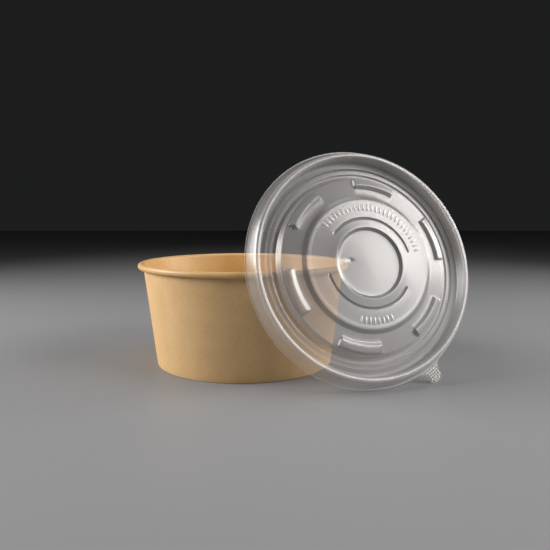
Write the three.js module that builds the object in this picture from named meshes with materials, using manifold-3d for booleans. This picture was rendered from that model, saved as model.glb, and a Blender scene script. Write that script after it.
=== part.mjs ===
// A round kraft paper salad bowl with its plastic lid taken off and leaning on the rim.
// Millimetres and degrees, +Z up, the bowl and the lid both standing on z = 0.
import * as THREE from 'three';
import { mergeVertices } from 'three/addons/utils/BufferGeometryUtils.js';
import Module from 'manifold-3d';

const wasm = await Module();
wasm.setup();

// ---- driving dimensions of the bowl ----
const RIM_RADIUS = 75;          // outside of the rolled rim
const FOOT_RADIUS = 62.7;       // outside of the wall where it meets the table
const BOWL_HEIGHT = 71.9;
const BOARD = 0.5;              // coated paperboard
const ROLL_RADIUS = 2.1;        // outside radius of the rolled rim's section
const ROLL_END = -125;          // where the roll's free edge stops, near the wall
const FLOOR_HEIGHT = 8;         // underside of the recessed floor disc
const HEM_HEIGHT = 6.5;         // board folded up inside the foot
const FOOT_ROUND = 0.5;
const SEAM_WIDTH = 8;           // glued overlap of the wall blank
const SEAM_ANGLE = 8;           // on the side where the lid leans, turned from the front

// ---- driving dimensions of the lid ----
const SHEET = 0.7;              // wall of the plastic moulding
const SKIRT_RADIUS = 76.9;
const SKIRT_DROP = 9.25;        // from the bead's crest to the free edge
const CREST_RADIUS = 71;
const ROLL_SPACE = { inner: 68.4, depth: 5.7 };
const LOWER_STEP = { radius: 60.6, height: -8.5, rise: 0.5 };
const UPPER_STEP = { radius: 64.3, height: -8, rise: 0.6 };
const PANEL = { foot: 58.4, edge: 56.2, height: -2.9 };
const PLATEAU = { radius: 43.6, edge: 0.6, foot: -0.8, crown: 2.6 };
const RECESS = { radius: 22.5, floor: 1.3 };
const BOSS = { inner: 49.7, outer: 55.6, top: 0, first: 17, arc: 30, count: 6 };
const GROOVE = { radius: 28.6, width: 1, depth: 0.3, arcs: [[12, 138], [192, 324]] };
const DIMPLE = { radius: 1.6, depth: 0.35, at: [[-12.5, 2.3, RECESS.floor]] };
const MARK = { radius: 1.2, depth: 0.3, ring: 52.2, angles: [152.5, 300.5] };
const TAB = { angle: -60, tip: 87, root: 14, end: 9, corner: 2.5, thick: 1 };
const TAB_RIDGE = { count: 4, rows: 3, height: 0.45, width: 1.3, length: 2.2, pitch: 2.3 };

// ---- where the lid leans ----
const LID_YAW = 19.1;           // about the vertical
const LID_TILT = 18.2;          // back from upright
const LID_SIDE = 56;            // its centre, sideways from where it meets the rim
const GAP = 0.3;                // clearance between pieces that touch

const SEGMENTS = 60;            // round the bowl and the lid
const WALL_SLOPE = (RIM_RADIUS - 2 * ROLL_RADIUS + BOARD - FOOT_RADIUS) / (BOWL_HEIGHT - ROLL_RADIUS);
const rad = THREE.MathUtils.degToRad;
const point = (r, z) => new THREE.Vector2(r, z);

// Radius of the bowl's wall at height z, `inward` of its outer face.
function wallRadius(z, inward = 0) {
  return FOOT_RADIUS + WALL_SLOPE * z - inward;
}

function arc(centre, radius, from, to, steps) {
  return Array.from({ length: steps + 1 }, (_, i) => {
    const a = rad(from + ((to - from) * i) / steps);
    return point(centre.x + radius * Math.cos(a), centre.y + radius * Math.sin(a));
  });
}

// The other face of a sheet whose one face is the given outline.
function offsetOutline(outline, distance) {
  return outline.map((p, i) => {
    const before = outline[Math.max(i - 1, 0)];
    const after = outline[Math.min(i + 1, outline.length - 1)];
    const ends = [p.clone().sub(before), after.clone().sub(p)].filter((d) => d.lengthSq() > 0);
    const normals = ends.map((d) => point(-d.y, d.x).normalize());
    const middle = normals.reduce((sum, n) => sum.add(n), point(0, 0)).normalize();
    const reach = distance / Math.max(middle.dot(normals[0] ?? middle), 0.5);
    return point(Math.max(p.x + middle.x * reach, 0), p.y + middle.y * reach);
  });
}

// ---- solids ----
function signedVolume(geometry) {
  const v = geometry.attributes.position;
  const index = geometry.index.array;
  const corners = [0, 1, 2].map(() => new THREE.Vector3());
  let sum = 0;
  for (let i = 0; i < index.length; i += 3) {
    corners.forEach((c, k) => c.fromBufferAttribute(v, index[i + k]));
    sum += corners[0].dot(corners[1].clone().cross(corners[2])) / 6;
  }
  return sum;
}

// One closed mesh with merged corners, no empty triangles and faces pointing out.
function closed(geometry) {
  const bare = geometry.index ? geometry.toNonIndexed() : geometry.clone();
  Object.keys(bare.attributes).filter((k) => k !== 'position').forEach((k) => bare.deleteAttribute(k));
  const merged = mergeVertices(bare, 1e-4);
  const index = merged.index.array;
  const kept = [];
  for (let i = 0; i < index.length; i += 3) {
    const [a, b, c] = index.slice(i, i + 3);
    if (a !== b && b !== c && c !== a) kept.push(a, b, c);
  }
  merged.setIndex(kept);
  if (signedVolume(merged) < 0) merged.setIndex(kept.toReversed());
  return merged;
}

function solid(geometry) {
  const mesh = closed(geometry);
  return new wasm.Manifold(new wasm.Mesh({
    numProp: 3,
    vertProperties: new Float32Array(mesh.attributes.position.array),
    triVerts: new Uint32Array(mesh.index.array),
  }));
}

function geometryOf(manifold) {
  const mesh = manifold.getMesh();
  const geometry = new THREE.BufferGeometry();
  geometry.setAttribute('position', new THREE.BufferAttribute(mesh.vertProperties, 3));
  geometry.setIndex(new THREE.BufferAttribute(mesh.triVerts, 1));
  return geometry;
}

// A ring or disc from its section; `turn` sets where its facets meet.
function revolve(outline, turn = 0) {
  return new THREE.LatheGeometry(outline, SEGMENTS).rotateX(Math.PI / 2).rotateZ(rad(turn));
}

// A curved bar between two radii and two angles, from z0 to z1, leaning out by slope.
function curvedBar(r0, r1, from, to, z0, z1, slope = 0) {
  const shape = new THREE.Shape();
  shape.absarc(0, 0, r1, rad(from), rad(to), false);
  shape.absarc(0, 0, r0, rad(to), rad(from), true);
  const curveSegments = Math.max(1, Math.round(Math.abs(to - from) / 6));
  const bar = new THREE.ExtrudeGeometry(shape, { depth: z1 - z0, bevelEnabled: false, curveSegments });
  bar.translate(0, 0, z0);
  const v = bar.attributes.position;
  for (let i = 0; i < v.count; i += 1) {
    const stretch = 1 + (slope * v.getZ(i)) / r0;
    v.setXY(i, v.getX(i) * stretch, v.getY(i) * stretch);
  }
  return bar;
}

function plug(radiusBelow, radiusAbove, x, y, z0, z1) {
  return new THREE.CylinderGeometry(radiusAbove, radiusBelow, z1 - z0, 16)
    .rotateX(Math.PI / 2)
    .translate(x, y, (z0 + z1) / 2);
}

// ---- the bowl ----
// One board blank: hem folded up inside the foot, tapered wall, rim rolled outwards and down.
function bowlWall() {
  const hem = 2 * BOARD + 2 * GAP;
  const roll = point(RIM_RADIUS - ROLL_RADIUS, BOWL_HEIGHT - ROLL_RADIUS);
  const outline = [
    point(wallRadius(HEM_HEIGHT, hem + BOARD), HEM_HEIGHT),
    point(wallRadius(HEM_HEIGHT, hem), HEM_HEIGHT),
    point(wallRadius(BOARD, hem), BOARD),
    point(wallRadius(BOARD, BOARD), BOARD),
    ...arc(roll, ROLL_RADIUS, 180, ROLL_END, 8),
    ...arc(roll, ROLL_RADIUS - BOARD, ROLL_END, 180, 5),
    ...arc(point(wallRadius(FOOT_ROUND, FOOT_ROUND), FOOT_ROUND), FOOT_ROUND, 0, -90, 2),
    ...arc(point(wallRadius(FOOT_ROUND, hem + BOARD - FOOT_ROUND), FOOT_ROUND), FOOT_ROUND, -90, -180, 2),
  ];
  const board = solid(revolve([...outline, outline[0]]));
  const half = THREE.MathUtils.radToDeg(SEAM_WIDTH / RIM_RADIUS) / 2;
  const face = FOOT_RADIUS - BOARD / 2;
  const lap = curvedBar(
    face, face + BOARD, SEAM_ANGLE - half, SEAM_ANGLE + half,
    FOOT_ROUND, BOWL_HEIGHT - 3 * ROLL_RADIUS, WALL_SLOPE,
  );
  return geometryOf(board.add(solid(lap)));
}

// The floor disc, set above the table, with its edge turned down between wall and hem.
function bowlBase() {
  const out = BOARD + GAP;
  const top = FLOOR_HEIGHT + BOARD;
  const corner = 1;
  const outline = [
    point(0, FLOOR_HEIGHT),
    point(wallRadius(FLOOR_HEIGHT, out + BOARD + corner), FLOOR_HEIGHT),
    point(wallRadius(FLOOR_HEIGHT - corner, out + BOARD), FLOOR_HEIGHT - corner),
    point(wallRadius(BOARD + GAP, out + BOARD), BOARD + GAP),
    point(wallRadius(BOARD + GAP, out), BOARD + GAP),
    point(wallRadius(top - corner, out), top - corner),
    point(wallRadius(top, out + corner), top),
    point(0, top),
  ];
  return closed(revolve(outline));
}

// ---- the lid, in its own frame: crest of the bead at z = 0, table side below ----
function lidSheet() {
  const { radius: lower, height: lowerHeight } = LOWER_STEP;
  const { radius: upper, height: upperHeight } = UPPER_STEP;
  const face = [
    point(0, RECESS.floor),
    point(RECESS.radius - 0.8, RECESS.floor),
    point(RECESS.radius, PLATEAU.crown),
    point(GROOVE.radius, PLATEAU.crown - 0.1),
    point(PLATEAU.radius - 0.4, PLATEAU.edge),
    point(PLATEAU.radius + 0.6, PLATEAU.foot),
    point(PANEL.edge, PANEL.height),
    point(PANEL.foot, lowerHeight),
    point(lower, lowerHeight),
    point(lower + 0.3, lowerHeight + LOWER_STEP.rise),
    point(upper - 0.2, upperHeight),
    point(upper + 0.2, upperHeight + UPPER_STEP.rise),
    point(ROLL_SPACE.inner, -ROLL_SPACE.depth),
    point(CREST_RADIUS - 1.7, -1.2),
    point(CREST_RADIUS - 1, -0.2),
    point(CREST_RADIUS, 0),
    point(CREST_RADIUS + 1.1, -0.5),
    point(CREST_RADIUS + 2.6, -2.6),
    point(SKIRT_RADIUS - 1.6, -SKIRT_DROP + 3.6),
    point(SKIRT_RADIUS, -SKIRT_DROP),
  ];
  const back = offsetOutline(face, -SHEET);
  back[back.length - 1] = point(SKIRT_RADIUS - SHEET, -SKIRT_DROP);
  return solid(revolve([...face, ...back.toReversed()], BOSS.first - BOSS.arc / 2));
}

// Six raised bosses round the panel, hollow from below like the sheet they rise from.
function bosses() {
  const bars = Array.from({ length: BOSS.count }, (_, i) => {
    const from = BOSS.first + (i * 360) / BOSS.count - BOSS.arc / 2;
    const inset = SHEET / (Math.PI / 180) / BOSS.inner;
    return {
      raised: curvedBar(BOSS.inner, BOSS.outer, from, from + BOSS.arc, PANEL.height - 0.4, BOSS.top),
      hollow: curvedBar(
        BOSS.inner + SHEET, BOSS.outer - SHEET, from + inset, from + BOSS.arc - inset,
        PANEL.height - 3 * SHEET, BOSS.top - SHEET,
      ),
    };
  });
  return bars.map(({ raised, hollow }) => [solid(raised), solid(hollow)]);
}

// Pull tab at the skirt's free edge, with short ridges for the fingertip.
function pullTab() {
  const root = SKIRT_RADIUS - 1.6;
  const outline = new THREE.Shape();
  outline.moveTo(root, -TAB.root / 2);
  outline.lineTo(TAB.tip - TAB.corner, -TAB.end / 2);
  outline.absarc(TAB.tip - TAB.corner, -TAB.end / 2 + TAB.corner, TAB.corner, -Math.PI / 2, 0, false);
  outline.absarc(TAB.tip - TAB.corner, TAB.end / 2 - TAB.corner, TAB.corner, 0, Math.PI / 2, false);
  outline.lineTo(root, TAB.root / 2);
  const plate = new THREE.ExtrudeGeometry(outline, { depth: TAB.thick, bevelEnabled: false, curveSegments: 4 });
  let tab = solid(plate.translate(0, 0, -SKIRT_DROP));
  const top = -SKIRT_DROP + TAB.thick;
  for (let row = 0; row < TAB_RIDGE.rows; row += 1) {
    for (let i = 0; i < TAB_RIDGE.count; i += 1) {
      const ridge = new THREE.BoxGeometry(TAB_RIDGE.length, TAB_RIDGE.width, 2 * TAB_RIDGE.height);
      const across = i - (TAB_RIDGE.count - 1) / 2;
      const x = SKIRT_RADIUS + 2 + row * (TAB_RIDGE.length + 0.6);
      const narrowing = 1 - 0.1 * row;
      ridge.translate(x, across * TAB_RIDGE.pitch * narrowing, top);
      tab = tab.add(solid(ridge));
    }
  }
  return tab.rotate([0, 0, TAB.angle]);
}

function lid() {
  let body = lidSheet();
  for (const [raised, hollow] of bosses()) {
    body = body.add(raised).subtract(hollow);
  }
  const groove = GROOVE.width / 2;
  for (const [from, to] of GROOVE.arcs) {
    const height = PLATEAU.crown - 0.1 - GROOVE.depth;
    body = body.subtract(solid(curvedBar(
      GROOVE.radius - groove, GROOVE.radius + groove, from, to, height, height + 2,
    )));
  }
  for (const [x, y, z] of DIMPLE.at) {
    body = body.subtract(solid(plug(0.4, DIMPLE.radius + 0.4, x, y, z - DIMPLE.depth, z + 0.1)));
  }
  const slope = (PLATEAU.foot - PANEL.height) / (PANEL.edge - PLATEAU.radius);
  for (const angle of MARK.angles) {
    const z = PLATEAU.foot - slope * (MARK.ring - PLATEAU.radius) - MARK.depth;
    const [x, y] = [MARK.ring * Math.cos(rad(angle)), MARK.ring * Math.sin(rad(angle))];
    body = body.subtract(solid(plug(MARK.radius, MARK.radius, x, y, z, z + 2)));
  }
  return geometryOf(body.add(pullTab()));
}

// ---- the lid's place: its skirt on the table, its back on the rolled rim ----
function leanLid(mesh) {
  const [yaw, tilt] = [rad(LID_YAW), rad(LID_TILT)];
  const height = SKIRT_RADIUS * Math.cos(tilt) + SKIRT_DROP * Math.sin(tilt);
  const backDepth = -LOWER_STEP.height + SHEET + GAP;
  const rimHeight = BOWL_HEIGHT - ROLL_RADIUS;
  const lift = (ROLL_RADIUS + backDepth + (rimHeight - height) * Math.sin(tilt)) / Math.cos(tilt);
  const away = RIM_RADIUS - ROLL_RADIUS + lift;
  mesh.rotation.set(Math.PI / 2 - tilt, 0, yaw, 'ZYX');
  mesh.position.set(
    away * Math.sin(yaw) + LID_SIDE * Math.cos(yaw),
    -away * Math.cos(yaw) + LID_SIDE * Math.sin(yaw),
    height,
  );
}

// ---- the object ----
const kraft = new THREE.MeshStandardMaterial({ color: 0xc9a068, roughness: 0.75, metalness: 0 });
const kraftInside = new THREE.MeshStandardMaterial({ color: 0xc1965c, roughness: 0.6, metalness: 0 });
const milkyPlastic = new THREE.MeshStandardMaterial({
  color: 0xdedcdc, roughness: 0.35, metalness: 0, transparent: true, opacity: 0.6,
});

function piece(name, geometry, material) {
  geometry.computeVertexNormals();
  const mesh = new THREE.Mesh(geometry, material);
  mesh.name = name;
  return mesh;
}

const wall = piece('bowl_wall', bowlWall(), kraft);
const base = piece('bowl_base', bowlBase(), kraftInside);
const cover = piece('lid', lid(), milkyPlastic);
leanLid(cover);

const saladBowl = new THREE.Group();
saladBowl.add(wall, base, cover);

// The origin is the middle of the whole footprint.
const box = new THREE.Box3().setFromObject(saladBowl, true);
const middle = box.getCenter(new THREE.Vector3());
for (const mesh of [wall, base, cover]) {
  mesh.position.x -= middle.x;
  mesh.position.y -= middle.y;
}

export default saladBowl;
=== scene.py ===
"""A round kraft paper salad bowl with its milky plastic lid leaning on the rolled rim.

Sizes are named in millimetres and turned to metres where a mesh is made. The bowl stands on
its own axis; the lid is shaped flat, with the crest of its bead at height 0, and then leant.
"""
import math

import bpy
import numpy as np
from mathutils import Matrix, Vector


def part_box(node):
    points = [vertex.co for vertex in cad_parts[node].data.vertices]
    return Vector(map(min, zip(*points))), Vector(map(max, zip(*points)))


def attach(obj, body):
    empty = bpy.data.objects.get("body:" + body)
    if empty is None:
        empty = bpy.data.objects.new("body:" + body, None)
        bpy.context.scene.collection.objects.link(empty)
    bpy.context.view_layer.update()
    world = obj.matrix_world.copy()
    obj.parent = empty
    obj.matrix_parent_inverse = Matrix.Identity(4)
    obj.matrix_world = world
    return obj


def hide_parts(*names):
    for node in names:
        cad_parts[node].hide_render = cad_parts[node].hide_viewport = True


MM = 0.001
TURN = 2 * math.pi

# ---- the bowl, in millimetres and degrees ----
RIM_RADIUS = 75.0
FOOT_RADIUS = 62.7
BOWL_HEIGHT = 71.9
BOARD = 0.5
PLY_GAP = 0.04
ROLL_RADIUS = 2.1
ROLL_END = -125.0
ROLL_CENTRE = (RIM_RADIUS - ROLL_RADIUS, BOWL_HEIGHT - ROLL_RADIUS)
WALL_SLOPE = (RIM_RADIUS - 2 * ROLL_RADIUS + BOARD - FOOT_RADIUS) / (BOWL_HEIGHT - ROLL_RADIUS)
HEM_HEIGHT = 6.5
HEM_OUT = 2 * BOARD + 2 * PLY_GAP
HEM_IN = HEM_OUT + BOARD
FLOOR_HEIGHT = 8.0
FLOOR_CROWN = 0.35
FOOT_RIBS = {"count": 150, "middle": 3.4, "length": 4.6, "width": 0.9, "height": 0.16,
             "round_off": 0.1}
STATIONS = 288
LAP_STATIONS = 7
LAP_ANGLE = 11.0
LAP_WIDTH = 8.0
LAP_BLEND = 9.0
LAP_EDGE = 0.12
WAVINESS = 0.12

# ---- the lid, in millimetres and degrees ----
SHEET = 0.7
SKIRT_RADIUS = 76.9
SKIRT_DROP = 9.25
LIP_TOP = -SKIRT_DROP + 0.62
LIP_ROUND = 0.16
CHANNEL_DEPTH = 8.5
BEAD_START = 69.7
PANEL_INNER = (43.9, -0.86)
PANEL_OUTER = (56.2, -2.9)
# The face from the centre out to the lip: distance, height, and the radius of each corner.
LID_FACE = [
    (0, 1.55, 0), (20.7, 1.2, 0.6), (22.5, 2.6, 0.6), (26, 2.05, 40), (30, 1.65, 40),
    (34, 1.33, 40), (38.4, 1.08, 1.5), (40.4, 1.1, 1.5), (41.4, 0.95, 0.8),
    (*PANEL_INNER, 1.2), (*PANEL_OUTER, 0.5), (58.0, -8.3, 0.5), (60.2, -CHANNEL_DEPTH, 0.5),
    (61.1, -7.7, 0.5), (63.7, -8.1, 0.5), (64.6, -7.25, 0.5), (68.7, -7.8, 1.3),
    (69.8, -0.1, 1.1), (72.6, -0.05, 1.1), (75.0, -5.6, 2.5), (76.1, LIP_TOP, 0),
]
# Rows that the plain middle gets, and stretches (from, to, step) with rows for their relief.
PLAIN_ROWS = [4, 8, 18]
RELIEF_ROWS = [(10.9, 14.5, 0.6), (27.5, 29.7, 0.22), (48.4, 54.0, 0.33), (54.6, 55.9, 0.18)]
BOSS = {"inner": 49.9, "middle": 52.6, "outer": 55.4, "top": -0.2, "fall": 1.2, "ramp": 3.0,
        "wall": 0.5, "end": 1.3, "first": 17.0, "arc": 31.0, "count": 6}
GROOVE = {"ring": 28.6, "width": 0.95, "depth": 0.8, "fade": 0.4,
          "arcs": [(12, 138), (192, 324)], "end_radius": 0.9, "end_depth": 0.3}
DIMPLE = {"ring": 12.71, "angle": 169.6, "radius": 1.7, "depth": 0.5}
MARK = {"ring": 52.2, "angles": (152.5, 300.5), "radius": 1.5, "depth": 0.9}
TAB = {"angle": -60.5, "tip": 87.0, "root": 6.6, "end": 4.0, "corner": 2.2, "flare": 2.6,
       "flare_length": 1.1}
GRIP = {"across": 7, "rows": 5, "first": 78.6, "pitch": 1.6, "row_step": 1.68, "half": 5.2,
        "narrowing": 0.5, "length": 1.3, "width": 0.9, "height": 0.7, "round_off": 0.25}
PLATEAU_RIB = {"ring": 36.0, "foot": 1.12, "step": 4.8, "slope": math.atan2(0.27, 4.0),
               "length": 4.4, "width": 1.5, "height": 0.55, "round_off": 0.5}
# The first angle and the count of each row of ribs.
PLATEAU_ROWS = {"upper": (12, 27), "lower": (253, 8)}
LID_STATIONS = 216
LEAST_TURN = 0.08

# ---- how the lid's plastic is drawn ----
# Slopes count as steep from the first value on, and fully after the span.
STEEP_FROM = 0.2
STEEP_SPAN = 0.45
# Painted shade on steep sides: the extra opacity, and the share of the white left in their colour.
STEEP_VEIL = 0.3
STEEP_PAINTED_SHADE = 0.42
# Beyond this distance from the centre the painted shade is weaker, by this share.
CHANNEL_EDGE = 55.9
CHANNEL_STEEP = 0.25
# How thin the sheet looks, from 0 to 1, at distances from the centre.
THIN_SHEET = [(56.0, 0), (58.0, 0.4), (62.3, 0.4), (64.3, 1), (69.0, 1), (70.0, 0), (72.3, 0),
              (73.5, 1), (76.0, 1), (76.5, 0), (77.5, 0), (78.2, 1)]
RAMP_REACH = 100.0

# ---- colours of the board ----
KRAFT_OUTSIDE = (0.67, 0.442, 0.211)
KRAFT_INSIDE = (0.66, 0.398, 0.135)
DARK_PULP = (0.16, 0.075, 0.025, 1)
LIGHT_PULP = (0.98, 0.8, 0.55, 1)
FLECK = (0.13, 0.06, 0.02, 1)

# ---- where the lid leans ----
LID_YAW = math.radians(19.1)
LID_TILT = math.radians(18.2)
LID_SIDE = 56.0
CLEARANCE = 0.3
LID_BACK = CHANNEL_DEPTH + SHEET + CLEARANCE

# ---- lights and camera, in metres ----
LID_AIM = (0.042, -0.052, 0.076)
WARM = (1, 0.965, 0.935)
WHITE = (1, 1, 1)
# Each light's place, aim, size, power, spread in degrees, and colour.
LIGHTS = {
    "left": ((-0.87, -0.07, 0.41), (-0.04, 0, 0.05), (0.75, 0.45), 4.85, 110, WARM),
    "right": ((0.79, -0.39, 0.565), LID_AIM, (0.5, 0.5), 2.45, 110, WARM),
    "side": ((0.92, 0.16, 0.37), LID_AIM, (0.75, 0.36), 2.6, 110, WARM),
    "top": ((0.0, 0.2, 1.1), (0, 0, 0.05), (0.9, 0.6), 0.62, 90, WHITE),
}
SURROUND = (0.5, 0.51, 0.53, 1)
SURROUND_STRENGTH = 0.025
TABLE_HALF = 2.5
TABLE_DROP = 0.00005
CAMERA_PLACE = (-0.0154, -0.4041, 0.1093)
CAMERA_PITCH = 6.589
CAMERA_LENS = 37.46
CAMERA_SENSOR = 36


# ------------------------------------------------------------------ node graphs
class Graph:
    """A node tree that is filled by expressions."""

    def __init__(self, tree):
        self.tree = tree

    def node(self, kind, settings=None, inputs=None, output=0):
        """Adds a node: its settings first, then the values or links of its sockets."""
        made = self.tree.nodes.new(kind)
        for name, value in (settings or {}).items():
            if name == "stops":
                ramp = made.color_ramp.elements
                while len(ramp) < len(value):
                    ramp.new(0.5)
                for stop, (place, colour) in zip(ramp, value):
                    stop.position, stop.color = place, (*colour, 1)
            else:
                setattr(made, name, value)
        for key, value in (inputs or {}).items():
            if isinstance(value, Wire):
                self.tree.links.new(value.socket, made.inputs[key])
            else:
                made.inputs[key].default_value = value
        return Wire(self, made, output)

    def math(self, operation, *values):
        return self.node("ShaderNodeMath", {"operation": operation}, dict(enumerate(values)))

    def vector_math(self, operation, *values):
        return self.node("ShaderNodeVectorMath", {"operation": operation}, dict(enumerate(values)))

    def ease(self, value, low, high, start=0.0, end=1.0, shape="SMOOTHSTEP"):
        """Takes a value from one range to another, held at both ends."""
        return self.node(
            "ShaderNodeMapRange", {"interpolation_type": shape, "clamp": True},
            {0: value, 1: low, 2: high, 3: start, 4: end},
        )

    def mix(self, factor, a, b):
        """Mixes two colours."""
        return self.node(
            "ShaderNodeMix", {"data_type": "RGBA", "clamp_factor": True},
            {0: factor, 6: a, 7: b}, output=2,
        )


class Wire:
    """One output of a node, with the arithmetic that the materials and trees use."""

    def __init__(self, graph, made, output=0):
        self.graph, self.made, self.socket = graph, made, made.outputs[output]

    def out(self, output):
        return Wire(self.graph, self.made, output)

    def __add__(self, other):
        return self.graph.math("ADD", self, other)

    __radd__ = __add__

    def __sub__(self, other):
        return self.graph.math("SUBTRACT", self, other)

    def __rsub__(self, other):
        return self.graph.math("SUBTRACT", other, self)

    def __mul__(self, other):
        return self.graph.math("MULTIPLY", self, other)

    __rmul__ = __mul__

    def __truediv__(self, other):
        return self.graph.math("DIVIDE", self, other)


# ------------------------------------------------------------------ outlines
def rounded(corners, steps=3):
    """A line through (across, up, radius) corners, each turned in an arc of its own radius."""
    place = np.array([c[:2] for c in corners], float)
    line = [place[0]]
    for i in range(1, len(corners) - 1):
        radius = corners[i][2]
        before, after = place[i - 1] - place[i], place[i + 1] - place[i]
        lengths = np.linalg.norm(before), np.linalg.norm(after)
        before, after = before / lengths[0], after / lengths[1]
        half = math.acos(np.clip(before @ after, -1, 1)) / 2
        nearly_straight = half > 1.55
        if radius <= 0 or nearly_straight:
            line.append(place[i])
            continue
        back = min(radius / math.tan(half), 0.45 * min(lengths))
        radius = back * math.tan(half)
        middle = (before + after) / np.linalg.norm(before + after)
        centre = place[i] + middle * radius / math.sin(half)
        start, end = place[i] + before * back - centre, place[i] + after * back - centre
        a0, a1 = math.atan2(start[1], start[0]), math.atan2(end[1], end[0])
        sweep = (a1 - a0 + math.pi) % TURN - math.pi
        for k in range(steps + 1):
            a = a0 + sweep * k / steps
            line.append(centre + radius * np.array([math.cos(a), math.sin(a)]))
    line.append(place[-1])
    return np.array(line)


def arc(centre, radius, start, end, steps):
    turns = np.radians(np.linspace(start, end, steps + 1))
    return [(centre[0] + radius * math.cos(a), centre[1] + radius * math.sin(a)) for a in turns]


def spread(line, longest):
    """The same line with long stretches divided."""
    made = [line[0]]
    for a, b in zip(line[:-1], line[1:]):
        parts = max(1, math.ceil(float(np.linalg.norm(np.subtract(b, a))) / longest))
        made += [np.add(a, np.subtract(b, a) * k / parts) for k in range(1, parts + 1)]
    return np.array(made)


def beside(line, distance):
    """The other face of a sheet whose one face is the line."""
    line = np.asarray(line, float)
    steps = np.diff(line, axis=0)
    steps /= np.linalg.norm(steps, axis=1, keepdims=True)
    sides = np.column_stack([-steps[:, 1], steps[:, 0]])
    first = np.vstack([sides[:1], sides])
    last = np.vstack([sides, sides[-1:]])
    middle = first + last
    middle /= np.linalg.norm(middle, axis=1, keepdims=True)
    reach = distance / np.maximum((middle * first).sum(axis=1), 0.5)
    return line + middle * reach[:, None]


# ------------------------------------------------------------------ meshes
def lay_flat(mesh, layer, flat):
    """Gives every corner of the faces the flat place of its point."""
    loops = np.empty(len(mesh.loops), dtype=np.int64)
    mesh.loops.foreach_get("vertex_index", loops)
    layer.data.foreach_set("uv", np.asarray(flat, np.float32)[loops].ravel())


def points_of(mesh):
    points = np.empty(len(mesh.vertices) * 3)
    mesh.vertices.foreach_get("co", points)
    return points.reshape(-1, 3)


def carry(mesh, name, values):
    """Stores one number on each point."""
    made = mesh.attributes.new(name, "FLOAT", "POINT")
    made.data.foreach_set("value", np.asarray(values, np.float32))


def new_mesh(name, points, faces, flat=None):
    mesh = bpy.data.meshes.new(name)
    mesh.from_pydata([tuple(p) for p in points], [], [tuple(f) for f in faces])
    if flat is not None:
        lay_flat(mesh, mesh.uv_layers.new(name="UVMap"), flat)
    mesh.validate()
    return mesh


def new_object(name, mesh):
    made = bpy.data.objects.new(name, mesh)
    bpy.context.scene.collection.objects.link(made)
    return made


def settle(piece):
    """Turns a piece with its modifiers into one plain mesh."""
    graph = bpy.context.evaluated_depsgraph_get()
    mesh = bpy.data.meshes.new_from_object(
        piece.evaluated_get(graph), preserve_all_data_layers=True, depsgraph=graph)
    piece.modifiers.clear()
    old, piece.data = piece.data, mesh
    bpy.data.meshes.remove(old)
    mesh.name = piece.name


def finish(piece, sharp):
    """Turns the faces outwards if they all point in, and shades them smooth up to an angle."""
    mesh = piece.data
    mesh.calc_loop_triangles()
    corners = np.empty(len(mesh.loop_triangles) * 3, dtype=np.int64)
    mesh.loop_triangles.foreach_get("vertices", corners)
    a, b, c = points_of(mesh)[corners.reshape(-1, 3)].transpose(1, 0, 2)
    if np.einsum("ij,ij->", a - a.mean(axis=0), np.cross(b - a, c - a)) < 0:
        mesh.flip_normals()
    mesh.shade_smooth()
    mesh.set_sharp_from_angle(angle=math.radians(sharp))


# ------------------------------------------------------------------ repeating and turned shapes
def new_tree(name, sizes):
    """A geometry tree with a geometry input, the named sizes, and a geometry output."""
    tree = bpy.data.node_groups.new(name, "GeometryNodeTree")
    tree.interface.new_socket("Geometry", in_out="OUTPUT", socket_type="NodeSocketGeometry")
    tree.interface.new_socket("Geometry", in_out="INPUT", socket_type="NodeSocketGeometry")
    for size, kind in sizes.items():
        tree.interface.new_socket(size, in_out="INPUT", socket_type="NodeSocket" + kind)
    graph = Graph(tree)
    graph.given = graph.node("NodeGroupInput")
    return graph


def give(graph, name):
    """One of the tree's own inputs."""
    return graph.given.out(name)


def finish_tree(graph, geometry):
    real = graph.node("GeometryNodeRealizeInstances", None, {0: geometry})
    coated = graph.node(
        "GeometryNodeSetMaterial", None, {"Geometry": real, "Material": give(graph, "Material")}
    )
    out = graph.tree.nodes.new("NodeGroupOutput")
    graph.tree.links.new(coated.socket, out.inputs[0])


def run_tree(piece, graph, values):
    """Puts a tree on a piece with its sizes, and keeps the plain mesh that it makes."""
    changed = piece.modifiers.new(graph.tree.name, "NODES")
    changed.node_group = graph.tree
    sockets = {
        s.name: s.identifier for s in graph.tree.interface.items_tree if s.in_out == "INPUT"
    }
    for name, value in values.items():
        changed[sockets[name]] = value
    settle(piece)


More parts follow.
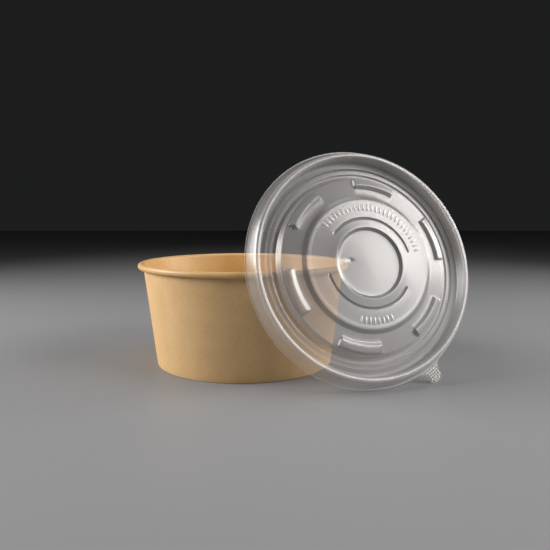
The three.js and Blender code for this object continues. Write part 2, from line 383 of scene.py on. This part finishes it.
def turned_board_tree():
    """A board outline turned about an upright axis, its two ends glued over each other.

    The outline's points carry `run`, their distance along it, `lined`, 1 on the coated face,
    and `outer`, 1 on the outer face. Both ends step by one board's thickness in all.
    """
    g = new_tree("turned_board", {
        "Outline Points": "Int", "Stations": "Int", "Lap Stations": "Int", "First Angle": "Float",
        "Lap Share": "Float", "Edge Share": "Float", "Blend Share": "Float", "Board": "Float",
        "Waviness": "Float", "Pattern Radius": "Float", "Axis": "Vector", "Seed": "Float",
        "Material": "Material",
    })
    points, stations = give(g, "Outline Points"), give(g, "Stations")
    lap, edge, blend = (give(g, n + " Share") for n in ("Lap", "Edge", "Blend"))
    grid = g.node("GeometryNodeMeshGrid", None, {
        "Size X": 1.0, "Size Y": 1.0, "Vertices X": stations + 1, "Vertices Y": points,
    })
    place = g.node("ShaderNodeSeparateXYZ", None, {0: g.node("GeometryNodeInputPosition")})
    station = g.math("ROUND", (place + 0.5) * stations)
    row = g.math("ROUND", (place.out(1) + 0.5) * (points - 1))

    def sampled(kind, value):
        return g.node("GeometryNodeSampleIndex", {"data_type": kind, "domain": "POINT"},
                      {"Geometry": give(g, "Geometry"), "Value": value, "Index": row})

    def carried(name):
        named = g.node("GeometryNodeInputNamedAttribute", {"data_type": "FLOAT"}, {"Name": name})
        return sampled("FLOAT", named)

    outline = g.node("ShaderNodeSeparateXYZ", None, {
        0: sampled("FLOAT_VECTOR", g.node("GeometryNodeInputPosition"))})
    outer = carried("outer")

    # Even steps round to the inner ply's edge, one short step over it, even steps across the
    # lap, and one short step over the outer ply's edge.
    inner_edge = stations - give(g, "Lap Stations")
    share = (
        g.ease(station, 0.0, inner_edge - 1, 0.0, 1 - lap, "LINEAR")
        + g.ease(station, inner_edge - 1, inner_edge, 0.0, edge, "LINEAR")
        + g.ease(station, inner_edge, stations - 1, 0.0, lap - 2 * edge, "LINEAR")
        + g.ease(station, stations - 1, stations, 0.0, edge, "LINEAR")
    )
    in_lap = g.math("GREATER_THAN", station, inner_edge - 0.5)
    at_end = g.math("GREATER_THAN", station, stations - 0.5)
    settles = g.ease(share, 0.0, blend, 1.0, 0.0)
    climbs = g.ease(share, 1 - lap - blend, 1 - lap, 0.0, 1.0)
    outside = climbs * (1 - at_end) - settles - at_end
    inside = climbs * (1 - in_lap) - settles - in_lap
    shift = (inside + outer * (outside - inside)) * give(g, "Board") * 0.5

    # The waves are long round the board and shorter up it, and die out towards the axis.
    waves_round, waves_up, calm_radius = 1.7, 22.0, 0.06
    angle = give(g, "First Angle") + share * TURN
    wave_place = g.node("ShaderNodeCombineXYZ", None, {
        0: g.math("COSINE", angle) * waves_round, 1: g.math("SINE", angle) * waves_round,
        2: outline.out(2) * waves_up})
    wave = g.node("ShaderNodeTexNoise", {"noise_dimensions": "4D"}, {
        "Vector": wave_place, "W": give(g, "Seed"), "Scale": 1.0, "Detail": 1.0})
    waving = (wave - 0.5) * give(g, "Waviness") * g.ease(outline, 0.0, calm_radius)
    radius = outline + shift + waving
    turned = g.node("ShaderNodeCombineXYZ", None, {
        0: g.math("COSINE", angle) * radius, 1: g.math("SINE", angle) * radius,
        2: outline.out(2)})

    flat = g.node("ShaderNodeCombineXYZ", None, {
        0: share * give(g, "Pattern Radius") * TURN, 1: carried("run"), 2: 0.0})
    mapped = g.node("GeometryNodeStoreNamedAttribute",
                    {"data_type": "FLOAT2", "domain": "CORNER"},
                    {"Geometry": grid, "Name": "UVMap", "Value": flat})
    marked = g.node("GeometryNodeStoreNamedAttribute",
                    {"data_type": "FLOAT", "domain": "POINT"},
                    {"Geometry": mapped, "Name": "lined", "Value": carried("lined")})
    shaped = g.node("GeometryNodeSetPosition", None, {
        "Geometry": marked,
        "Position": g.vector_math("ADD", turned, give(g, "Axis"))})
    welded = g.node("GeometryNodeMergeByDistance", None, {"Geometry": shaped, "Distance": 2e-6})
    finish_tree(g, welded)
    return g


def ring_tree():
    """Copies of one small shape round a ring, in one or more rows going outwards."""
    g = new_tree("round_a_ring", {
        "Count": "Int", "Rows": "Int", "Radius": "Float", "Row Step": "Float", "Height": "Float",
        "First Angle": "Float", "Angle Step": "Float", "Half Width": "Float",
        "Narrowing": "Float", "Place": "Vector", "Turn": "Vector", "Material": "Material",
    })
    count = give(g, "Count")
    spots = g.node("GeometryNodePoints", None, {"Count": count * give(g, "Rows")})
    index = g.node("GeometryNodeInputIndex")
    row = g.math("FLOOR", (index + 0.5) / count)
    column = index - row * count
    angle = give(g, "First Angle") + column * give(g, "Angle Step")
    radius = give(g, "Radius") + row * give(g, "Row Step")
    spot = g.node("ShaderNodeCombineXYZ", None, {
        0: g.math("COSINE", angle) * radius, 1: g.math("SINE", angle) * radius,
        2: give(g, "Height")})
    placed = g.node("GeometryNodeSetPosition", None, {"Geometry": spots, "Position": spot})
    facing = g.node("ShaderNodeCombineXYZ", None, {0: 0.0, 1: 0.0, 2: angle})
    aside = g.math("ABSOLUTE", column - (count - 1) * 0.5) * give(g, "Angle Step") * radius
    inside = g.math("LESS_THAN", aside, give(g, "Half Width") - row * give(g, "Narrowing"))
    copies = g.node("GeometryNodeInstanceOnPoints", None, {
        "Points": placed, "Instance": give(g, "Geometry"), "Rotation": facing,
        "Selection": inside})
    moved = g.node("GeometryNodeTransform", None, {
        "Geometry": copies, "Translation": give(g, "Place"), "Rotation": give(g, "Turn")})
    finish_tree(g, moved)
    return g


# ------------------------------------------------------------------ materials
def new_material(name):
    material = bpy.data.materials.new(name)
    material.use_nodes = True
    material.node_tree.nodes.clear()
    return material, Graph(material.node_tree)


def surface(graph, sockets):
    """Ends a material in one shader with its values and wires."""
    shader = graph.node("ShaderNodeBsdfPrincipled", None, sockets)
    out = graph.tree.nodes.new("ShaderNodeOutputMaterial")
    graph.tree.links.new(shader.socket, out.inputs["Surface"])


def mottle(g, place, seed, scale, detail, roughness):
    return g.node("ShaderNodeTexNoise", {"noise_dimensions": "4D"}, {
        "Vector": place, "W": seed, "Scale": scale, "Detail": detail, "Roughness": roughness})


def streaks(g, uv, turn, along, across, seed):
    """Noise drawn out along one direction of the board."""
    turned = g.node("ShaderNodeMapping", None, {
        "Vector": uv, "Rotation": (0, 0, math.radians(turn)), "Scale": (along, across, 1)})
    return mottle(g, turned, seed, 1.0, 3.0, 0.6)


def kraft(name, outside, inside, seed):
    """Natural kraft board: mottled pulp, long fibres at two slants, and a few dark flecks."""
    material, g = new_material(name)
    uv = g.node("ShaderNodeUVMap", {"uv_map": "UVMap"})
    lined = g.node("ShaderNodeAttribute", {"attribute_name": "lined"}, output=2)
    cloud = mottle(g, uv, seed, 70.0, 4.0, 0.62)
    pulp = mottle(g, uv, seed + 3, 900.0, 3.0, 0.7)
    rising = streaks(g, uv, 24, 260, 1900, seed + 5)
    falling = streaks(g, uv, -31, 300, 2100, seed + 7)
    fleck = g.node("ShaderNodeTexVoronoi", {"feature": "F1"}, {"Vector": uv, "Scale": 420.0})
    fleck_pick = g.node("ShaderNodeSeparateColor", None, {0: fleck.out(1)})
    flecks = g.ease(fleck, 0.16, 0.08) * g.math("GREATER_THAN", fleck_pick, 0.86)

    base = g.mix(lined, (*outside, 1), (*inside, 1))
    tone = (cloud - 0.5) * 0.42 + (pulp - 0.5) * 0.3 + (rising + falling - 1.0) * 0.34
    dark = g.mix(g.math("MAXIMUM", 0.0 - tone, 0.0), base, DARK_PULP)
    light = g.mix(g.math("MAXIMUM", tone, 0.0), dark, LIGHT_PULP)
    relief = pulp * 0.5 + rising * 0.3 + falling * 0.3
    surface(g, {
        "Base Color": g.mix(flecks * 0.45, light, FLECK),
        "Roughness": 0.62 - lined * 0.16 + (cloud - 0.5) * 0.12,
        "Specular IOR Level": 0.35,
        "Coat Weight": lined * 0.7,
        "Coat Roughness": 0.3,
        "Normal": g.node("ShaderNodeBump", None, {
            "Strength": 0.22, "Distance": 0.00009, "Height": relief}),
    })
    return material


def milky(name, white, solid):
    """Milky polypropylene: clear enough to see through, whiter where seen edge on.

    Its flat pattern is centred on the lid, so the sheet can be drawn thinner and clearer over
    the channel and down the skirt. The points carry `steep`, which paints shade on the sides of
    steps: a darker, more opaque colour there.
    """
    material, g = new_material(name)
    uv = g.node("ShaderNodeUVMap", {"uv_map": "UVMap"})
    haze = mottle(g, uv, 4.0, 55.0, 3.0, 0.5) - 0.5
    orange_peel = mottle(g, uv, 9.0, 420.0, 2.0, 0.5)
    edge_on = g.node("ShaderNodeLayerWeight", None, {"Blend": 0.3}, output=1)
    radius = g.vector_math("LENGTH", uv).out(1)
    stops = [(r / RAMP_REACH, (thinness,) * 3) for r, thinness in THIN_SHEET]
    thin = g.node("ShaderNodeValToRGB", {"stops": stops}, {0: radius * (1 / RAMP_REACH / MM)})
    steep = g.node("ShaderNodeAttribute", {"attribute_name": "steep"}, output=2)
    veil = g.ease(edge_on, 0.0, 1.0, solid, solid + 0.23, "LINEAR") + haze * 0.04

    def tinted(level):
        return (level, level * 0.98, level * 0.985, 1)

    # Painted shade: steep sides take a darker copy of the plastic's colour and are made more
    # opaque.
    surface(g, {
        "Base Color": g.mix(steep, tinted(white), tinted(white * STEEP_PAINTED_SHADE)),
        "Roughness": 0.38 + haze * 0.1,
        "IOR": 1.6,
        "Coat Weight": 1.0,
        "Coat Roughness": 0.24,
        "Coat IOR": 2.1,
        "Alpha": veil * (1 - thin * 0.6) + steep * STEEP_VEIL,
        "Normal": g.node("ShaderNodeBump", None, {
            "Strength": 0.03, "Distance": 0.0002, "Height": orange_peel}),
    })
    return material


def table_finish():
    material, g = new_material("table")
    place = g.node("ShaderNodeTexCoord", output=3)
    grain = g.node("ShaderNodeTexNoise", None, {"Vector": place, "Scale": 3.0, "Detail": 2.0})
    surface(g, {
        "Base Color": g.mix(grain, (0.25, 0.255, 0.266, 1), (0.27, 0.275, 0.286, 1)),
        "Roughness": 0.5 + (grain - 0.5) * 0.05,
        "Specular IOR Level": 0.1,
        "Coat Weight": 0.05,
        "Coat Roughness": 0.35,
    })
    return material


# ------------------------------------------------------------------ the bowl
def wall_radius(height, inward=0.0):
    return FOOT_RADIUS + WALL_SLOPE * height - inward


def outline_object(name, line, lined, outer):
    """An object whose points are an outline in metres, with what each point carries."""
    line = np.asarray(line) * MM
    run = np.concatenate([[0], np.cumsum(np.linalg.norm(np.diff(line, axis=0), axis=1))])
    points = [(x, 0, z) for x, z in line]
    mesh = bpy.data.meshes.new(name)
    mesh.from_pydata(points, [(i, i + 1) for i in range(len(points) - 1)], [])
    carry(mesh, "run", run)
    carry(mesh, "lined", lined)
    carry(mesh, "outer", outer)
    return new_object(name, mesh)


def bowl_wall(tree, axis, material):
    """One board blank: hem inside the foot, tapered wall, rim rolled outwards and down."""
    bend = 0.22
    coated = rounded([
        (wall_radius(HEM_HEIGHT, HEM_OUT), HEM_HEIGHT, 0),
        (wall_radius(BOARD, HEM_OUT), BOARD, bend),
        (wall_radius(BOARD, BOARD), BOARD, bend),
        (ROLL_CENTRE[0] - ROLL_RADIUS, ROLL_CENTRE[1], 0),
    ])
    roll = arc(ROLL_CENTRE, ROLL_RADIUS, 180, ROLL_END, 26)
    inner_roll = arc(ROLL_CENTRE, ROLL_RADIUS - BOARD, ROLL_END, 180, 16)
    plain = rounded([
        (ROLL_CENTRE[0] - ROLL_RADIUS + BOARD, ROLL_CENTRE[1], 0),
        (wall_radius(0), 0, 0.5),
        (wall_radius(0, HEM_IN), 0, 0.5),
        (wall_radius(HEM_HEIGHT, HEM_IN), HEM_HEIGHT, 0),
    ], steps=4)
    face = np.vstack([spread(coated, 5), spread(np.array(roll), 5)[1:]])
    back = np.vstack([inner_roll, spread(plain, 5)[1:]])
    line = np.vstack([face, back, face[:1]])
    lined = np.array([1.0] * len(face) + [0.0] * len(back) + [1.0])
    lined[len(face) - len(roll) + 1:len(face)] = 0.5
    outer = [0] * len(face) + [1] * len(back) + [0]
    piece = outline_object("kraft_wall", line, lined, outer)
    round_trip = TURN * RIM_RADIUS
    run_tree(piece, tree, {
        "Outline Points": len(line), "Stations": STATIONS, "Lap Stations": LAP_STATIONS,
        "First Angle": math.radians(LAP_ANGLE), "Lap Share": LAP_WIDTH / round_trip,
        "Edge Share": LAP_EDGE / round_trip, "Blend Share": LAP_BLEND / round_trip,
        "Board": BOARD * MM, "Waviness": WAVINESS * MM,
        "Pattern Radius": (RIM_RADIUS + FOOT_RADIUS) / 2 * MM, "Axis": axis, "Seed": 2.0,
        "Material": material,
    })
    finish(piece, sharp=38)
    return piece


def bowl_floor(tree, axis, material):
    """The floor disc with its edge turned down into the hem."""
    out = BOARD + PLY_GAP
    under = out + BOARD
    top = FLOOR_HEIGHT + BOARD
    halfway, bulge = 45, 0.3 * FLOOR_CROWN
    corners = [
        (0, top + FLOOR_CROWN, 0), (halfway, top + bulge, 60), (wall_radius(top, out), top, 1.1),
        (wall_radius(1, out), 1, 0.1), (wall_radius(1, under), 1, 0.1),
        (wall_radius(FLOOR_HEIGHT, under), FLOOR_HEIGHT, 0.6),
        (halfway, FLOOR_HEIGHT + bulge, 60), (0, FLOOR_HEIGHT + FLOOR_CROWN, 0),
    ]
    line = spread(rounded(corners, steps=5), 8)
    piece = outline_object("kraft_floor", line, [1] * len(line), [0] * len(line))
    run_tree(piece, tree, {
        "Outline Points": len(line), "Stations": STATIONS, "Lap Stations": LAP_STATIONS,
        "First Angle": 0.0, "Lap Share": 0.02, "Edge Share": 0.002, "Blend Share": 0.02,
        "Board": 0.0, "Waviness": 0.0, "Pattern Radius": 0.03, "Axis": axis, "Seed": 5.0,
        "Material": material,
    })
    lay_flat(piece.data, piece.data.uv_layers["UVMap"], points_of(piece.data)[:, :2])
    finish(piece, sharp=38)
    return piece


def rib_shape(name, size, lean=0.0):
    """A small rounded bar along X, its top up, lying half below z = 0."""
    height, round_off = size["height"], size["round_off"]
    corners = []
    for z, inset in ((-height, 0.0), (height - round_off, 0.0), (height, round_off)):
        across, along = size["width"] / 2 - inset, size["length"] / 2 - inset
        cut = min(across, along) * 0.4
        corners.append([
            (along, across - cut, z), (along - cut, across, z), (cut - along, across, z),
            (-along, across - cut, z), (-along, cut - across, z), (cut - along, -across, z),
            (along - cut, -across, z), (along, cut - across, z)])
    points = np.array(corners).reshape(-1, 3) * MM
    faces = [[k * 8 + i, k * 8 + (i + 1) % 8, k * 8 + 8 + (i + 1) % 8, k * 8 + 8 + i]
             for k in range(2) for i in range(8)]
    faces += [list(range(7, -1, -1)), list(range(16, 24))]
    tilt = np.array(Matrix.Rotation(lean, 3, "Y"))
    return new_mesh(name, points @ tilt.T, faces)


def foot_ribs(tree, axis, material):
    """Fine upright ribs that the forming wheel presses into the inside of the foot."""
    count, middle = FOOT_RIBS["count"], FOOT_RIBS["middle"]
    # The bar lies along X with its top up, so it is stood up and turned to face the axis.
    mesh = rib_shape("foot_ribs", FOOT_RIBS)
    stood = Matrix.Rotation(math.atan(WALL_SLOPE), 3, "Y") @ Matrix.Rotation(-math.pi / 2, 3, "Y")
    mesh.transform(stood.to_4x4())
    piece = new_object("foot_ribs", mesh)
    run_tree(piece, tree, {
        "Count": count, "Rows": 1, "Radius": wall_radius(middle, HEM_IN) * MM,
        "Row Step": 0.0, "Height": middle * MM, "First Angle": 0.0, "Angle Step": TURN / count,
        "Half Width": 1.0, "Narrowing": 0.0, "Place": axis, "Turn": (0, 0, 0),
        "Material": material,
    })
    finish(piece, sharp=50)
    return piece


# ------------------------------------------------------------------ the lid
def lid_frame(axis):
    """The lid's own frame: skirt edge on the table, back of the channel on the rolled rim."""
    height = SKIRT_RADIUS * math.cos(LID_TILT) + SKIRT_DROP * math.sin(LID_TILT)
    above = ROLL_CENTRE[1] - height
    lift = (ROLL_RADIUS + LID_BACK + above * math.sin(LID_TILT)) / math.cos(LID_TILT)
    away = ROLL_CENTRE[0] + lift
    place = Vector((
        away * math.sin(LID_YAW) + LID_SIDE * math.cos(LID_YAW),
        -away * math.cos(LID_YAW) + LID_SIDE * math.sin(LID_YAW),
        height,
    )) * MM + axis
    turn = Matrix.Rotation(LID_YAW, 4, "Z") @ Matrix.Rotation(math.pi / 2 - LID_TILT, 4, "X")
    return Matrix.Translation(place) @ turn


def step_up(value, at, width, softness=1.0):
    """0 below `at`, 1 above it, with a corner at both ends that is sharp where softness is 0."""
    t = np.clip((value - at) / width + 0.5, 0, 1)
    return t + softness * (t * t * (3 - 2 * t) - t)


def angle_from(turns, middle):
    return (turns - middle + math.pi) % TURN - math.pi


def panel_height(radius):
    """Height of the sloping ring between the plateau and the channel."""
    return np.interp(radius, *zip(PANEL_INNER, PANEL_OUTER))


def boss_angles():
    return [BOSS["first"] + k * 360 / BOSS["count"] for k in range(BOSS["count"])]


def dents():
    """Each small dent: distance from the centre, angle, radius, depth, flatness of its bottom."""
    made = [(DIMPLE["ring"], DIMPLE["angle"], DIMPLE["radius"], DIMPLE["depth"], 1)]
    made += [(MARK["ring"], angle, MARK["radius"], MARK["depth"], 3) for angle in MARK["angles"]]
    made += [(GROOVE["ring"], end, GROOVE["end_radius"], GROOVE["end_depth"], 3)
             for _, end in GROOVE["arcs"]]
    return made


def lid_relief(radius, turns, under):
    """Height that the bosses, grooves and dents add to the sheet at a point."""
    inset = SHEET if under else 0.0
    height = np.zeros_like(radius)
    inner, middle, outer = BOSS["inner"], BOSS["middle"], BOSS["outer"]
    span = (step_up(radius, inner + inset, BOSS["ramp"], 0.4)
            - step_up(radius, outer - inset, BOSS["wall"]))
    top = BOSS["top"] - BOSS["fall"] * (radius - inner) / (outer - inner)
    reach = math.radians(BOSS["arc"] / 2) * middle - inset
    for angle in boss_angles():
        away = np.abs(angle_from(turns, math.radians(angle))) * middle
        height += span * (1 - step_up(away, reach, BOSS["end"])) * (top - panel_height(radius))
    for start, end in GROOVE["arcs"]:
        reach = math.radians(end - start) / 2 * GROOVE["ring"]
        away = np.abs(angle_from(turns, math.radians((start + end) / 2))) * GROOVE["ring"]
        across = np.clip(1 - np.abs(radius - GROOVE["ring"]) / GROOVE["width"], 0, 1)
        height -= GROOVE["depth"] * (1 - step_up(away, reach, GROOVE["fade"])) * across
    x, y = radius * np.cos(turns), radius * np.sin(turns)
    for distance, degrees, size, depth, flatness in dents():
        angle = math.radians(degrees)
        across, along = distance * math.cos(angle), distance * math.sin(angle)
        near = np.hypot(x - across, y - along) / size
        height -= depth * np.clip(1 - near ** flatness, 0, 1)
    return height


def tab_reach(turns):
    """How far the skirt's edge reaches out: a narrow lip, and the pull tab at its place."""
    away = np.abs(angle_from(turns, math.radians(TAB["angle"])))
    out = np.linspace(SKIRT_RADIUS, TAB["tip"], 400)
    share = (out - SKIRT_RADIUS) / (TAB["tip"] - SKIRT_RADIUS)
    half = TAB["root"] + (TAB["end"] - TAB["root"]) * share
    half = half + TAB["flare"] * np.exp(-(out - SKIRT_RADIUS) / TAB["flare_length"])
    left = np.clip((TAB["tip"] - out) / TAB["corner"], 0, 1)
    half = half - TAB["corner"] * (1 - np.sqrt(1 - (1 - left) ** 2))
    reach = np.full_like(turns, SKIRT_RADIUS)
    for i, turn in enumerate(away):
        inside = out[half / out >= turn]
        if len(inside):
            reach[i] = inside[-1]
    return reach


def lid_turns():
    """Stations round the lid: even ones, and more where a boss, mark or the tab ends."""
    wanted = [np.linspace(0, 360, LID_STATIONS, endpoint=False)]
    for middle in boss_angles():
        for side in (-1, 1):
            wanted.append(middle + side * (BOSS["arc"] / 2 + np.linspace(-1.2, 0.6, 7)))
    wanted += [middle + np.linspace(-1.9, 1.9, 13) for middle in MARK["angles"]]
    wanted += [TAB["angle"] + side * np.linspace(2.6, 8, 26) for side in (-1, 1)]
    ordered = np.unique(np.round(np.concatenate(wanted), 3) % 360)
    gaps = np.diff(np.append(ordered, ordered[0] + 360))
    return np.radians(ordered[gaps > LEAST_TURN])


def lid_rows(outline):
    """The outline with added rows where grooves, dents and boss walls cross it."""
    wanted = list(PLAIN_ROWS)
    for start, end, step in RELIEF_ROWS:
        wanted += list(np.arange(start, end, step))
    rows = [tuple(row) for row in outline]
    for radius in wanted:
        if min(abs(radius - r) for r, _ in rows) > 0.05:
            after = next(i for i, (r, _) in enumerate(rows) if r > radius)
            (r0, z0), (r1, z1) = rows[after - 1:after + 1]
            rows.insert(after, (radius, z0 + (z1 - z0) * (radius - r0) / (r1 - r0)))
    return np.array(rows)


def steepness(rows, turns, under):
    """0 on gentle slopes, 1 on the sides of steps, grooves and bosses inside the bead: where the
    plastic gets painted shade.
    """
    least, steepest = 0.05, 2
    radii = np.repeat(rows[:, :1], len(turns), axis=1)
    heights = rows[:, 1:] + lid_relief(radii, turns, under)
    rise = np.abs(np.diff(heights, axis=0)) / np.maximum(np.abs(np.diff(radii, axis=0)), least)
    rise = np.vstack([rise[:1], (rise[:-1] + rise[1:]) / 2, rise[-1:]])
    ahead = (np.roll(turns, -1) - np.roll(turns, 1)) % TURN
    aside = np.abs(np.roll(heights, -1, 1) - np.roll(heights, 1, 1)) / (ahead * radii + least)
    slope = np.hypot(np.minimum(rise, steepest), aside)
    steep = np.clip((slope - STEEP_FROM) / STEEP_SPAN, 0, 1)
    steep *= np.where(radii > CHANNEL_EDGE, CHANNEL_STEEP, 1.0)
    return steep * (radii < BEAD_START) * (radii > 1)


def ring(turns, radius, height, steep=0.0):
    """One ring of the lid's points, with how steep the sheet is at each."""
    level = np.zeros_like(turns)
    return np.column_stack([
        radius * np.cos(turns), radius * np.sin(turns), height + level, steep + level])


def sheet_rings(rows, turns, under):
    """The rings of the sheet's face or, under it, of its back."""
    made = []
    for (radius, height), steep in zip(rows, steepness(rows, turns, under)):
        radii = np.full_like(turns, radius)
        made.append(ring(turns, radii, height + lid_relief(radii, turns, under), steep))
    return made


def lip_rings(turns, start):
    """The lip from the skirt's outside round its edge, with the pull tab, to its inside."""
    reach = tab_reach(turns)
    flat = reach - LIP_ROUND
    inner = SKIRT_RADIUS - SHEET - 0.1
    bottom, slight = -SKIRT_DROP, LIP_ROUND * 0.3
    places = [(start + (flat - start) * share, LIP_TOP) for share in (0.3, 0.55, 0.8)]
    places += [
        (flat, LIP_TOP), (reach - slight, LIP_TOP - slight), (reach, LIP_TOP - LIP_ROUND),
        (reach, bottom + LIP_ROUND), (reach - slight, bottom + slight), (flat, bottom),
    ]
    places += [(inner + (flat - inner) * share, bottom) for share in (0.7, 0.35, 0)]
    return [ring(turns, radius, height) for radius, height in places]


def ring_faces(count, rings):
    """Faces of a closed sheet of rings, the first and the last of which are one point."""
    faces = [(0, 1 + i, 1 + (i + 1) % count) for i in range(count)]
    last_ring = 1 + (rings - 3) * count
    for a in range(1, last_ring, count):
        for i in range(count):
            j = (i + 1) % count
            faces.append((a + i, a + count + i, a + count + j, a + j))
    end = last_ring + count
    return faces + [(last_ring + i, end, last_ring + (i + 1) % count) for i in range(count)]


def lid_sheet(frame_at, material):
    """The whole moulding in one closed sheet, from the centre over the bead to the tab."""
    back = [
        (max(r, 0), z, corner * (0.6 if corner < 1 else 0.9))
        for (r, z), (_, _, corner) in zip(beside([c[:2] for c in LID_FACE], -SHEET), LID_FACE)
    ]
    turns = lid_turns()
    upper, lower = lid_rows(rounded(LID_FACE)), lid_rows(rounded(back, steps=2))
    rings = sheet_rings(upper, turns, False) + lip_rings(turns, upper[-1][0])
    rings += sheet_rings(lower, turns, True)[::-1]
    points = np.concatenate([rings[0][:1], *rings[1:-1], rings[-1][:1]])
    faces = ring_faces(len(turns), len(rings))
    mesh = new_mesh("milky_lid", points[:, :3] * MM, faces, flat=points[:, :2] * MM)
    # The steepness that places the painted shade on the plastic.
    carry(mesh, "steep", points[:, 3])
    mesh.transform(frame_at)
    mesh.materials.append(material)
    piece = new_object("milky_lid", mesh)
    finish(piece, sharp=32)
    return piece


def lid_details(tree, frame_at, material):
    """The tab's chequered grip, and a ring of plain raised ribs on the plateau."""
    shared = {
        "Place": frame_at.to_translation(), "Turn": frame_at.to_euler("XYZ"),
        "Material": material,
    }
    pads = new_object("tab_grip", rib_shape("tab_grip", GRIP))
    step = GRIP["pitch"] / GRIP["first"]
    run_tree(pads, tree, {
        "Count": GRIP["across"], "Rows": GRIP["rows"], "Radius": GRIP["first"] * MM,
        "Row Step": GRIP["row_step"] * MM, "Height": LIP_TOP * MM,
        "First Angle": math.radians(TAB["angle"]) - step * (GRIP["across"] - 1) / 2,
        "Angle Step": step, "Half Width": GRIP["half"] * MM,
        "Narrowing": GRIP["narrowing"] * MM, **shared,
    })
    made = [pads]
    for side, (first, count) in PLATEAU_ROWS.items():
        name = "plateau_ribs_" + side
        row = new_object(name, rib_shape(name, PLATEAU_RIB, PLATEAU_RIB["slope"]))
        run_tree(row, tree, {
            "Count": count, "Rows": 1, "Radius": PLATEAU_RIB["ring"] * MM, "Row Step": 0.0,
            "Height": PLATEAU_RIB["foot"] * MM, "First Angle": math.radians(first),
            "Angle Step": math.radians(PLATEAU_RIB["step"]), "Half Width": 1.0,
            "Narrowing": 0.0, **shared,
        })
        made.append(row)
    for piece in made:
        finish(piece, sharp=50)
    return made


# ------------------------------------------------------------------ table, lights and camera
def table_top(material):
    half = TABLE_HALF
    corners = [(-half, -half, 0), (half, -half, 0), (half, half, 0), (-half, half, 0)]
    mesh = new_mesh("table", corners, [(0, 1, 2, 3)])
    mesh.materials.append(material)
    floor = new_object("table", mesh)
    floor.location.z = -TABLE_DROP


def area_light(name, place, aim, size, power, spread_angle, colour):
    lamp = bpy.data.lights.new(name, "AREA")
    lamp.shape, lamp.size, lamp.size_y = "RECTANGLE", *size
    lamp.energy, lamp.color, lamp.spread = power, colour, math.radians(spread_angle)
    made = new_object(name, lamp)
    made.location = place
    made.rotation_euler = (Vector(aim) - Vector(place)).to_track_quat("-Z", "Y").to_euler()


def studio():
    """Soft lights, a nearly dark surround, and the camera."""
    scene = bpy.context.scene
    for name, values in LIGHTS.items():
        area_light(name, *values)
    world = bpy.data.worlds.new("studio")
    world.use_nodes = True
    background = world.node_tree.nodes["Background"]
    background.inputs["Color"].default_value = SURROUND
    background.inputs["Strength"].default_value = SURROUND_STRENGTH
    scene.world = world
    scene.view_settings.view_transform = "Standard"

    lens = bpy.data.cameras.new("camera")
    lens.lens, lens.sensor_width, lens.sensor_fit = CAMERA_LENS, CAMERA_SENSOR, "HORIZONTAL"
    lens.clip_start, lens.clip_end = 0.01, 50
    camera = new_object("camera", lens)
    camera.location = CAMERA_PLACE
    camera.rotation_euler = (math.radians(90 - CAMERA_PITCH), 0, 0)
    scene.camera = camera


# ------------------------------------------------------------------ the whole object
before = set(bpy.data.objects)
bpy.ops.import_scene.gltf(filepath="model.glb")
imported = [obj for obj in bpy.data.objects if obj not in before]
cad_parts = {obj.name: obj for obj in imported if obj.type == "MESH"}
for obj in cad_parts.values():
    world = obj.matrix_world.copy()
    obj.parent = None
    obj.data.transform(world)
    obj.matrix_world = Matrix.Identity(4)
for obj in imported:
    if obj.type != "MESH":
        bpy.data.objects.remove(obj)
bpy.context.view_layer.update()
low, high = (Vector(corner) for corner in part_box("bowl_wall"))
bowl_axis = Vector(((low.x + high.x) / 2, (low.y + high.y) / 2, 0))
lid_at = lid_frame(bowl_axis)

board = kraft("kraft_board", KRAFT_OUTSIDE, KRAFT_INSIDE, 1.0)
floor_board = kraft("kraft_floor", KRAFT_INSIDE, KRAFT_INSIDE, 11.0)
plastic = milky("milky_plastic", 0.64, 0.33)
thick_plastic = milky("milky_plastic_thick", 0.95, 0.9)

turned = turned_board_tree()
ringed = ring_tree()
wall = bowl_wall(turned, bowl_axis, board)
base = bowl_floor(turned, bowl_axis, floor_board)
ribs = foot_ribs(ringed, bowl_axis, board)
lid = lid_sheet(lid_at, plastic)
details = lid_details(ringed, lid_at, thick_plastic)

slots = {wall: "kraft_board", base: "kraft_floor", ribs: "kraft_board", lid: "milky_plastic"}
slots.update({piece: "milky_plastic" for piece in details})
for piece, slot in slots.items():
    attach(piece, "root")
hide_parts("bowl_wall")
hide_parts("bowl_base")
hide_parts("lid")

table_top(table_finish())
studio()
